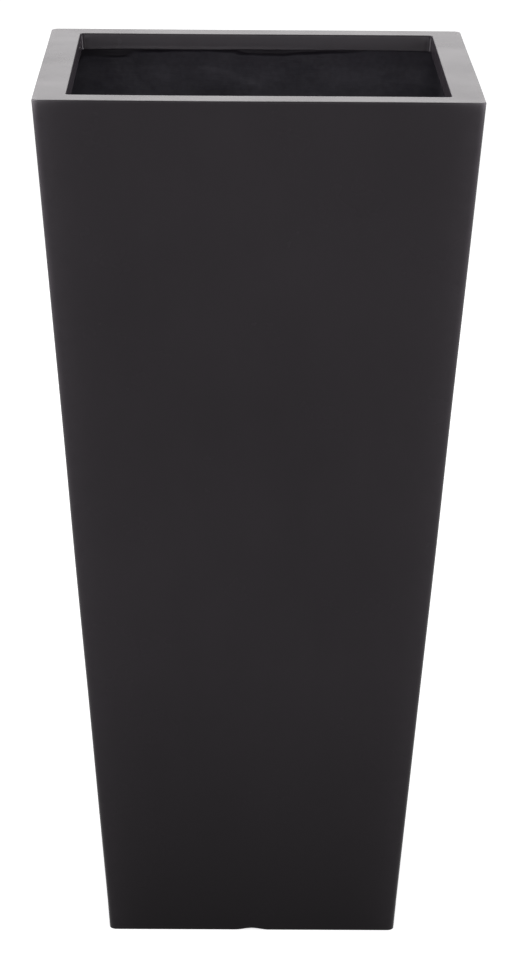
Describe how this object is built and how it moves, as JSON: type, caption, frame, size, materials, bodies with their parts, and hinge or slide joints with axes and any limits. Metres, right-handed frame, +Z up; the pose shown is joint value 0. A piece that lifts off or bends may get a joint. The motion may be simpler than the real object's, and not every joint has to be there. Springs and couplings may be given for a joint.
{
  "type": "tall square planter",
  "caption": "Tall square planter tapering towards the floor, moulded in fibreglass, with a flat inward rim, turned-down lip, raised floor and drain plug.",
  "frame": {"origin": "middle of the base at ground level", "axes": "+Z up along the planter, +X to the right and +Y to the back when it is seen from its front, which faces -Y; the four sides are alike"},
  "size_m": [0.4496, 0.4496, 0.915],
  "materials": {
    "charcoal_gelcoat": "satin",
    "raw_laminate": "matte",
    "bonding_paste": "matte",
    "black_rubber": "matte"
  },
  "bodies": {
    "planter": {"body_shell": "charcoal_gelcoat", "floor_panel": "raw_laminate", "floor_bonding_fillet": "bonding_paste"},
    "drain_plug": {"drain_plug": "black_rubber"}
  },
  "joints": [
    {"name": "drain_plug_lift", "type": "slide", "parent": "planter", "child": "drain_plug", "axis": [0, 0, 1], "range_m": [0, 0.93]}
  ]
}
